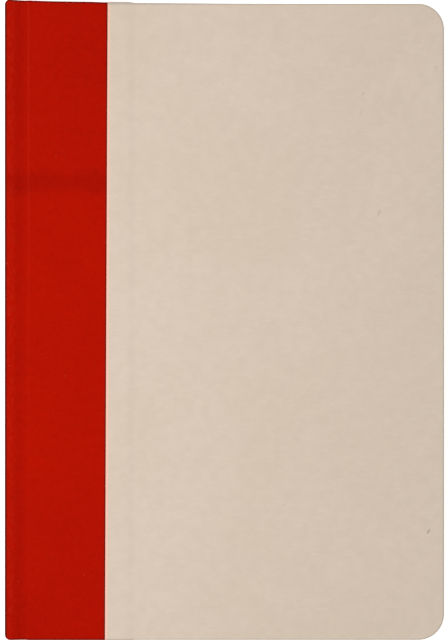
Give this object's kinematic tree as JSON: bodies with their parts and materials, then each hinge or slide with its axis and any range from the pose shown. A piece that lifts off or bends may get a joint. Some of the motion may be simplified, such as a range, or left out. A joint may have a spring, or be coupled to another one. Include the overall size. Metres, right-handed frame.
{
  "type": "lined notebook",
  "caption": "Quarter-bound hardcover lined notebook with a cloth spine, paper sides, rounded fore-edge corners, and covers that open on both sides of a sewn block of pages.",
  "frame": {"origin": "under the middle of the closed notebook, on the surface that its back cover lies on", "axes": "+X from the spine to the fore edge, +Y from the tail to the head, +Z from the back cover to the front cover"},
  "size_m": [0.145, 0.2106, 0.0169],
  "materials": {
    "pages": "matt uncoated writing paper",
    "thread": "waxed linen thread",
    "gauze": "open cotton gauze, sized with glue",
    "kraft_lining": "matt kraft paper",
    "band_cotton": "woven cotton with a corded bead",
    "greyboard": "matt unlined greyboard",
    "book_cloth": "matt fine-woven book cloth",
    "side_paper": "matt uncoated cover paper with a faint fibre",
    "pastedown": "matt uncoated writing paper"
  },
  "bodies": {
    "pages_and_spine": {"text_block": "pages", "sewing_thread": "thread", "spine_gauze": "gauze", "spine_lining": "kraft_lining", "head_band": "band_cotton", "tail_band": "band_cotton", "spine_board": "greyboard", "spine_cloth": "book_cloth"},
    "front_cover": {"front_board": "greyboard", "front_cloth": "book_cloth", "front_side_paper": "side_paper", "front_gauze": "gauze", "front_pastedown": "pastedown"},
    "back_cover": {"back_board": "greyboard", "back_cloth": "book_cloth", "back_side_paper": "side_paper", "back_gauze": "gauze", "back_pastedown": "pastedown"}
  },
  "joints": [
    {"name": "front_cover_hinge", "type": "hinge", "parent": "pages_and_spine", "child": "front_cover", "pos_m": [-0.07025, 0, 0.01434], "axis": [0, -1, 0], "range_deg": [0, 179.5]},
    {"name": "back_cover_hinge", "type": "hinge", "parent": "pages_and_spine", "child": "back_cover", "pos_m": [-0.07025, 0, 0.00258], "axis": [0, 1, 0], "range_deg": [0, 179.5]}
  ]
}
